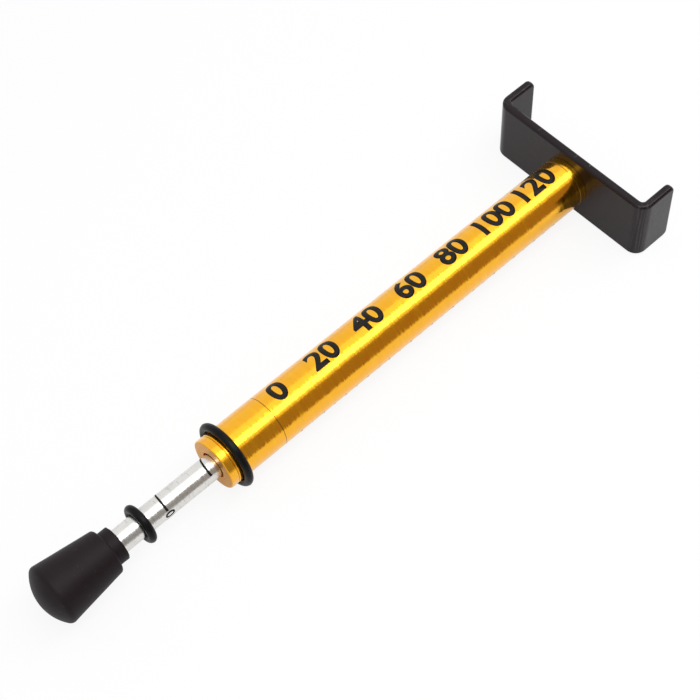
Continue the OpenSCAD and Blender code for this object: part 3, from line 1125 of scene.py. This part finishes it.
for node, body in (("large_ring", "deflection_marker"), ("small_ring", "force_marker")):
    ring_mesh = mesh_from(revolve(ring_outline(node), True), node + "_moulded")
    dress(link_piece(node + "_moulded", ring_mesh, finish["ring"]), body, "ring_rubber", node)

# %% [markdown]
# ## Cradle
#
# The cradle is a strip of steel with rounded edges, bent twice. It is made like a real strip: one
# cross-section is carried along a path of stations, straight across the plate, round each bend and along
# each leg. Near the tip the section shrinks along a quarter circle, which rounds the leg's end and its
# corners.

# %% Bend the strip
PLATE = -cradle_low.x
HALF_LENGTH = cradle_high.y
LEG_TIP_X = cradle_high.x
WIDTH = 2 * cradle_high.z
BEND_R = 1.4 * MM
STRIP_ROUND = 1.2 * MM
TIP_ROUND = 1.1 * MM
TIP_CORNER = 2.6 * MM
BEND_STEPS = 12
TIP_STEPS = 10
CORNER_STEPS = 5
MOST_ROUND = 0.49


def circle_loss(radius, depth):
    """How far a rounding falls away at a depth into it."""
    depth = min(max(depth, 0.0), radius)
    return radius - math.sqrt(radius * radius - depth * depth)


def half_stations():
    """Stations from the plate's middle to a leg's tip: x, y, outward angle, thickness and width."""
    bend_y = HALF_LENGTH - PLATE - BEND_R
    middle_r = BEND_R + PLATE / 2
    stations = [(-PLATE / 2, 0.0, 180.0, PLATE, WIDTH)]
    for i in range(BEND_STEPS + 1):
        turn = 180 - 90 * i / BEND_STEPS
        x = BEND_R + middle_r * math.cos(math.radians(turn))
        y = bend_y + middle_r * math.sin(math.radians(turn))
        stations.append((x, y, turn, PLATE, WIDTH))
    for i in range(TIP_STEPS + 1):
        x = LEG_TIP_X - TIP_CORNER * (1 - math.sin(math.radians(90 * i / TIP_STEPS)))
        thickness = PLATE - 2 * circle_loss(TIP_ROUND, x - (LEG_TIP_X - TIP_ROUND))
        width = WIDTH - 2 * circle_loss(TIP_CORNER, x - (LEG_TIP_X - TIP_CORNER))
        stations.append((x, HALF_LENGTH - PLATE / 2, 90.0, thickness, width))
    return stations


def section(thickness, width):
    """A rounded rectangle in (across, z)."""
    r = min(STRIP_ROUND, thickness * MOST_ROUND)
    points = []
    for across, z, start in ((1, 1, 0), (-1, 1, 90), (-1, -1, 180), (1, -1, 270)):
        for i in range(CORNER_STEPS + 1):
            a = math.radians(start + 90 * i / CORNER_STEPS)
            middle = (across * (thickness / 2 - r), z * (width / 2 - r))
            points.append((middle[0] + r * math.cos(a), middle[1] + r * math.sin(a)))
    return points


def strip_ring(bm, x, y, turn, thickness, width):
    """The section's points at one station."""
    out = (math.cos(math.radians(turn)), math.sin(math.radians(turn)))
    return [bm.verts.new((x + out[0] * a, y + out[1] * a, z)) for a, z in section(thickness, width)]


def bent_strip():
    """The whole strip, from one leg's tip to the other's."""
    half = half_stations()
    mirrored = [(x, -y, -turn, t, w) for x, y, turn, t, w in reversed(half[1:])]
    bm = bmesh.new()
    rings = [strip_ring(bm, *station) for station in mirrored + half]
    for one, two in zip(rings, rings[1:]):
        for i in range(len(one)):
            j = (i + 1) % len(one)
            bm.faces.new((one[i], one[j], two[j], two[i]))
    bm.faces.new(rings[0])
    bm.faces.new(rings[-1])
    return bm


cradle_bent = link_piece("cradle_bent", mesh_from(bent_strip(), "cradle_bent"), finish["paint"])
print("strip has", len(cradle_bent.data.polygons), "faces")

# %% [markdown]
# ## Countersink
#
# The hole for the screw is cut last, as in a workshop. A turned cutter with the screw's cone is taken out
# of the strip with an exact Boolean, and the result is kept as plain mesh. The cut's rims are marked
# sharp, so that the flat plate around them stays evenly shaded.

# %% Cut the countersink
SINK_R = 5.88 * MM
HOLE_R = 3.15 * MM
CUTTER_STEPS = 96
SHARP_ANGLE = math.radians(35)


def evaluated_mesh(thing):
    """A new mesh of an object, as its modifiers or its lettering make it."""
    live = thing.evaluated_get(bpy.context.evaluated_depsgraph_get())
    return bpy.data.meshes.new_from_object(live)


def settled(piece):
    """Turn a piece's live modifiers into plain mesh."""
    plain = evaluated_mesh(piece)
    piece.modifiers.clear()
    piece.data = plain
    return piece


def cut_from(piece, cutter_bm):
    """Cut one closed shape out of a piece, with sharp rims."""
    cutter = link_piece("cutter", mesh_from(cutter_bm, "cutter"), piece.data.materials[0])
    cut = piece.modifiers.new("cut", "BOOLEAN")
    cut.operation, cut.solver, cut.object = "DIFFERENCE", "EXACT", cutter
    settled(piece)
    piece.data.set_sharp_from_angle(angle=SHARP_ANGLE)
    bpy.data.objects.remove(cutter)


countersink = [
    (-2 * PLATE, 0),
    (-2 * PLATE, HOLE_R),
    (HOLE_R - SINK_R, HOLE_R),
    (0, SINK_R),
    (PLATE, SINK_R + PLATE),
    (PLATE, 0),
]
cut_from(cradle_bent, revolve(countersink, False, CUTTER_STEPS))
even_shading(cradle_bent)
dress(cradle_bent, "tool_body", "black_paint", "cradle")

# %% [markdown]
# ## Cradle screw
#
# The screw that holds the cradle lies flush in the belt seat. Its head is turned as a cone on a plain
# shank, and a six-sided cutter with a pointed end, like the drill mark in a real one, sinks the socket.

# %% Turn the screw
SCREW_R = 3.0 * MM
SOCKET_FLATS = 4.0 * MM
SOCKET_DEPTH = 2.2 * MM
SOCKET_WALL = 0.85
SOCKET_SIDES = 6
screw_tip_x, head_x = x_span("cradle_screw")
head_r = radius_of("cradle_screw")
screw_outline = [
    (screw_tip_x, 0),
    (screw_tip_x, SCREW_R - LEAD),
    (screw_tip_x + LEAD, SCREW_R),
    (head_x - (head_r - SCREW_R), SCREW_R),
    (head_x, head_r),
    (head_x, 0),
]
screw = turned_piece("cradle_screw_turned", screw_outline, finish["oxide"], EDGE, False)
settled(screw)
corner_r = SOCKET_FLATS / 2 / math.cos(math.pi / SOCKET_SIDES)
socket_outline = [
    (head_x - SOCKET_DEPTH, 0),
    (head_x - SOCKET_DEPTH * SOCKET_WALL, corner_r),
    (head_x + MM, corner_r),
    (head_x + MM, 0),
]
cut_from(screw, revolve(socket_outline, False, SOCKET_SIDES))
dress(screw, "tool_body", "black_steel", "cradle_screw")

# %% [markdown]
# ## Geometry trees with named sizes
#
# The spring and the row of ticks follow rules, so Geometry Nodes make them. Each tree has named inputs.
# They are set by their identifiers before the tree first runs, and the result is kept as a plain mesh.

# %% Geometry tree helpers
def geometry_tree(name, **inputs):
    """An empty geometry tree with named inputs (name: kind) and a finish."""
    tree = bpy.data.node_groups.new(name, "GeometryNodeTree")
    for label, kind in {**inputs, "Finish": "Material"}.items():
        tree.interface.new_socket(label, in_out="INPUT", socket_type="NodeSocket" + kind)
    tree.interface.new_socket("Geometry", in_out="OUTPUT", socket_type="NodeSocketGeometry")
    return tree, tree.nodes.new("NodeGroupInput").outputs


def close_tree(tree, geometry, material):
    """End a tree: plain geometry with its finish."""
    plain = add_node(tree, "GeometryNodeRealizeInstances", Geometry=geometry)
    painted = add_node(tree, "GeometryNodeSetMaterial", Geometry=plain.outputs[0], Material=material)
    tree.links.new(painted.outputs[0], tree.nodes.new("NodeGroupOutput").inputs[0])
    return tree


def grown(name, tree, **values):
    """Run a geometry tree with its named inputs and keep the result as a plain mesh piece."""
    piece = bpy.data.objects.new(name, bpy.data.meshes.new(name))
    scene.collection.objects.link(piece)
    modifier = piece.modifiers.new("grow", "NODES")
    modifier.node_group = tree
    for item in tree.interface.items_tree:
        if item.in_out == "INPUT":
            modifier[item.identifier] = values[item.name]
    return settled(piece)


print("geometry helpers ready")

# %% [markdown]
# ## Spring
#
# A line of points is bent into a helix by its index: the first and the last turn lie flat, as on a real
# spring with closed ends, and the coils between them share the rest of the length. The line then becomes
# a curve, and a round wire is swept along it.

# %% Write the spring's tree
STEPS_PER_COIL = 40.0
CLOSED_TURNS = 2.0
WIRE_SIDES = 12


def coil_place(tree, given):
    """Where each point of the line goes, from its index."""
    index = tree.nodes.new("GeometryNodeInputIndex").outputs[0]
    turns = calculate(tree, "DIVIDE", index, STEPS_PER_COIL)
    coiled = calculate(tree, "MULTIPLY_ADD", given["Wire"], -CLOSED_TURNS - 1, given["Length"])
    pitch = calculate(tree, "DIVIDE", coiled, given["Coils"])
    past_first = calculate(tree, "MAXIMUM", calculate(tree, "SUBTRACT", turns, 1.0), 0.0)
    open_turns = calculate(tree, "MINIMUM", past_first, given["Coils"])
    flat_turns = calculate(tree, "SUBTRACT", turns, open_turns)
    flat_rise = calculate(tree, "MULTIPLY", flat_turns, given["Wire"])
    rise = calculate(tree, "MULTIPLY_ADD", open_turns, pitch, flat_rise)
    start = calculate(tree, "MULTIPLY_ADD", given["Wire"], 0.5, given["Front"])
    angle = calculate(tree, "MULTIPLY", turns, 2 * math.pi)
    x = calculate(tree, "ADD", start, rise)
    y = calculate(tree, "MULTIPLY", calculate(tree, "COSINE", angle), given["Radius"])
    z = calculate(tree, "MULTIPLY", calculate(tree, "SINE", angle), given["Radius"])
    return add_node(tree, "ShaderNodeCombineXYZ", X=x, Y=y, Z=z).outputs[0]


def spring_tree():
    """A wire coiled along X, with closed ends."""
    sizes = dict.fromkeys(("Front", "Length", "Radius", "Wire", "Coils"), "Float")
    tree, given = geometry_tree("closed_end_spring", **sizes)
    turns_all = calculate(tree, "ADD", given["Coils"], CLOSED_TURNS)
    count = calculate(tree, "MULTIPLY_ADD", turns_all, STEPS_PER_COIL, 1.0)
    line = add_node(tree, "GeometryNodeMeshLine", Count=count).outputs[0]
    place = coil_place(tree, given)
    helix = add_node(tree, "GeometryNodeSetPosition", Geometry=line, Position=place).outputs[0]
    curve = add_node(tree, "GeometryNodeMeshToCurve", Mesh=helix).outputs[0]
    wire_r = calculate(tree, "MULTIPLY", given["Wire"], 0.5)
    wire = add_node(tree, "GeometryNodeCurvePrimitiveCircle", Resolution=WIRE_SIDES, Radius=wire_r)
    swept = add_node(tree, "GeometryNodeCurveToMesh", Curve=curve, Profile_Curve=wire.outputs[0],
                     Fill_Caps=True)
    return close_tree(tree, swept.outputs[0], given["Finish"])


coil_tree = spring_tree()
print(coil_tree.name, "has", len(coil_tree.nodes), "nodes")

# %% [markdown]
# ## Coil it
#
# The spring sits between the piston and the shim.

# %% Coil the spring
WIRE = 1.8 * MM
COILS = 19.0
spring_front_x, spring_rear_x = x_span("spring")
spring_length = spring_rear_x - spring_front_x
spring_r = radius_of("spring") - WIRE / 2
spring_coil = grown("spring_coil", coil_tree, Front=spring_front_x, Length=spring_length, Radius=spring_r,
                    Wire=WIRE, Coils=COILS, Finish=finish["wire"])
spring_coil.data.shade_smooth()
dress(spring_coil, "tool_body", "spring_steel", "spring")
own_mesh(spring_coil)

# %% [markdown]
# ## Wrapping print round a tube
#
# The marks are ink on a round surface. Flat marks are drawn with x along the tool and y around it, cut
# into narrow strips so that they can bend, wrapped round the axis, and given the thickness of a film. The
# film sinks a hair into the tube, so that no gap shows under it.

# %% Wrapping helpers
INK_FILM = 0.02 * MM
INK_SINK = 0.004 * MM
STRIP = 0.3 * MM
SAME_PLACE = 1e-7


def cut_in_strips(bm):
    """Cut a flat mesh across y, so that no face is wider than a strip."""
    low = min(v.co.y for v in bm.verts)
    high = max(v.co.y for v in bm.verts)
    for i in range(1, int((high - low) / STRIP) + 1):
        everything = bm.verts[:] + bm.edges[:] + bm.faces[:]
        bmesh.ops.bisect_plane(bm, geom=everything, plane_co=(0, low + i * STRIP, 0), plane_no=(0, 1, 0))


def wrapped(name, flat_mesh, radius, angle):
    """Bend a flat mesh round the X axis, with its y = 0 line at an angle from +Y, as a film of ink."""
    bm = bmesh.new()
    bm.from_mesh(flat_mesh)
    bmesh.ops.remove_doubles(bm, verts=bm.verts, dist=SAME_PLACE)
    cut_in_strips(bm)
    base = radius - INK_SINK
    for vertex in bm.verts:
        turn = angle - vertex.co.y / radius
        vertex.co = (vertex.co.x, base * math.cos(turn), base * math.sin(turn))
    piece = link_piece(name, into_mesh(bm, name), finish["ink"])
    film = piece.modifiers.new("film", "SOLIDIFY")
    film.thickness, film.offset = INK_FILM, 1.0
    return settled(piece)


def joined(meshes):
    """Several flat meshes as one."""
    bm = bmesh.new()
    for mesh in meshes:
        bm.from_mesh(mesh)
    return into_mesh(bm, "joined")


print("ink film:", INK_FILM / MM, "mm")

# %% [markdown]
# ## Numbers on the barrel
#
# A row of plain numbers, in millimetres, runs along the upper side of the barrel. Each is a text object
# that is made into a mesh while it is still flat. The outline is swollen a little to make it bold.

# %% Print the numbers
CAP_SHARE = 0.69
FONT_STEPS = 8
SCALE_START_X = barrel_front_x + 7.0 * MM
SCALE_MM = 120
NUMBER_STEP_MM = 20
NUMBER_HEIGHT = 8.2 * MM
NUMBER_BOLD = 0.05
NUMBER_FOOT = math.radians(100)


def flat_number(text, height, bold, place):
    """A plain number as a flat mesh, moved by a matrix. Bold swells its outline, as a share of its height."""
    font = bpy.data.curves.new("number", "FONT")
    font.body, font.align_x, font.resolution_u = text, "CENTER", FONT_STEPS
    font.size, font.offset = height / CAP_SHARE, height * bold
    lettering = bpy.data.objects.new("number", font)
    scene.collection.objects.link(lettering)
    mesh = evaluated_mesh(lettering)
    bpy.data.objects.remove(lettering)
    mesh.transform(place)
    return mesh


def scale_number(value):
    """One number of the scale, with its middle on its mark."""
    place = Matrix.Translation((SCALE_START_X + value * MM, 0, 0))
    return flat_number(str(value), NUMBER_HEIGHT, NUMBER_BOLD, place)


numbers = [scale_number(value) for value in range(0, SCALE_MM + 1, NUMBER_STEP_MM)]
barrel_numbers = wrapped("barrel_numbers", joined(numbers), barrel_r, NUMBER_FOOT)
dress(barrel_numbers, "tool_body", "black_paint")

# %% [markdown]
# ## Ticks on the barrel
#
# Low on the near side, a tick stands every 5 mm, and every second one is shorter. A row with a rule is
# what instances are for: one tick is placed on each point of a line, and its scale depends on its index.

# %% Print the ticks
TICK_STEP = 5.0 * MM
TICK_WIDTH = 0.5 * MM
TICK_LENGTH = 3.2 * MM
SHORT_TICK = 0.6
TICK_COUNT = int(SCALE_MM * MM / TICK_STEP) + 1
TICK_ANGLE = math.radians(204)


def tick_tree():
    """A row of flat ticks along X, with every second one shorter."""
    sizes = dict.fromkeys(("Start", "Step", "Width", "Length", "Short"), "Float")
    tree, given = geometry_tree("tick_row", **sizes, Count="Int")
    start = add_node(tree, "ShaderNodeCombineXYZ", X=given["Start"]).outputs[0]
    step = add_node(tree, "ShaderNodeCombineXYZ", X=given["Step"]).outputs[0]
    line = add_node(tree, "GeometryNodeMeshLine", Count=given["Count"], Start_Location=start, Offset=step)
    tick = add_node(tree, "GeometryNodeMeshGrid", Size_X=given["Width"], Size_Y=given["Length"],
                    Vertices_X=2, Vertices_Y=2)
    odd = calculate(tree, "MODULO", tree.nodes.new("GeometryNodeInputIndex").outputs[0], 2.0)
    loss = calculate(tree, "SUBTRACT", given["Short"], 1.0)
    share = calculate(tree, "MULTIPLY_ADD", odd, loss, 1.0)
    size = add_node(tree, "ShaderNodeCombineXYZ", X=1.0, Y=share, Z=1.0).outputs[0]
    row = add_node(tree, "GeometryNodeInstanceOnPoints", Points=line.outputs[0], Instance=tick.outputs[0],
                   Scale=size)
    return close_tree(tree, row.outputs[0], given["Finish"])


flat_ticks = grown("flat_ticks", tick_tree(), Start=SCALE_START_X, Step=TICK_STEP, Width=TICK_WIDTH,
                   Length=TICK_LENGTH, Short=SHORT_TICK, Count=TICK_COUNT, Finish=finish["ink"])
barrel_ticks = wrapped("barrel_ticks", flat_ticks.data, barrel_r, TICK_ANGLE)
bpy.data.objects.remove(flat_ticks)
dress(barrel_ticks, "tool_body", "black_paint")

# %% [markdown]
# ## Force marks on the rod
#
# The rod carries two short lines that show how hard the knob is pushed, and the outer one has a number
# that is read round the rod. Lines printed by hand on a round bar are seldom true: these lean, bow
# towards the nose cap at both ends, and thicken towards the end where the pen was lifted.

# %% Print the force marks
NOSE_LINE = {"x": -173.05 * MM, "bow": 0.9 * MM, "lean": 0.9 * MM}
OUTER_LINE = {"x": -191.4 * MM, "bow": 0.45 * MM, "lean": 0.45 * MM}
MARK_WIDTH = 0.74 * MM
MARK_SWELL = 0.2
MARK_ARC = 9.2 * MM
MARK_START = math.radians(26)
BAR_STEPS = 24
MARK_NUMBER = "10"
MARK_NUMBER_HEIGHT = 3.4 * MM
MARK_NUMBER_BOLD = 0.035
MARK_NUMBER_ALONG = 0.4 * MM
MARK_NUMBER_BELOW = 2.75 * MM


def bowed_bar(x, bow, lean):
    """A thin flat bar down from y = 0, leaning and bowed along x."""
    bm = bmesh.new()
    rows = []
    for i in range(BAR_STEPS + 1):
        t = 2 * i / BAR_STEPS - 1
        middle = x + bow * t * t - lean * t
        half = MARK_WIDTH / 2 * (1 + MARK_SWELL * t)
        y = -MARK_ARC * i / BAR_STEPS
        rows.append([bm.verts.new((middle + side * half, y, 0)) for side in (-1, 1)])
    for one, two in zip(rows, rows[1:]):
        bm.faces.new((two[0], two[1], one[1], one[0]))
    return into_mesh(bm, "bar")


turned_up = Matrix.Rotation(math.radians(90), 4, "Z")
number_x = OUTER_LINE["x"] + MARK_NUMBER_HEIGHT / 2 + MARK_NUMBER_ALONG
number_place = Matrix.Translation((number_x, -MARK_ARC - MARK_NUMBER_BELOW, 0)) @ turned_up
mark_number = flat_number(MARK_NUMBER, MARK_NUMBER_HEIGHT, MARK_NUMBER_BOLD, number_place)
flat_marks = joined([bowed_bar(**NOSE_LINE), bowed_bar(**OUTER_LINE), mark_number])
rod_marks = wrapped("rod_marks", flat_marks, rod_r, MARK_START)
dress(rod_marks, "plunger", "black_paint")

# %% [markdown]
# ## Pieces that stay inside
#
# The piston, its washer and nut, the rubber stop and the spring's shim never show while the tool is
# whole. Their CAD solids are already right, so they only get their finishes.

# %% Finish the inner pieces
inner = {"piston": "acetal", "piston_washer": "zinc", "lock_nut": "zinc", "spring_shim": "zinc",
         "stop_washer": "knob"}
for node, name in inner.items():
    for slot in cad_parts[node].material_slots:
        slot.material = finish[name]
    print(node, "gets", finish[name].name)
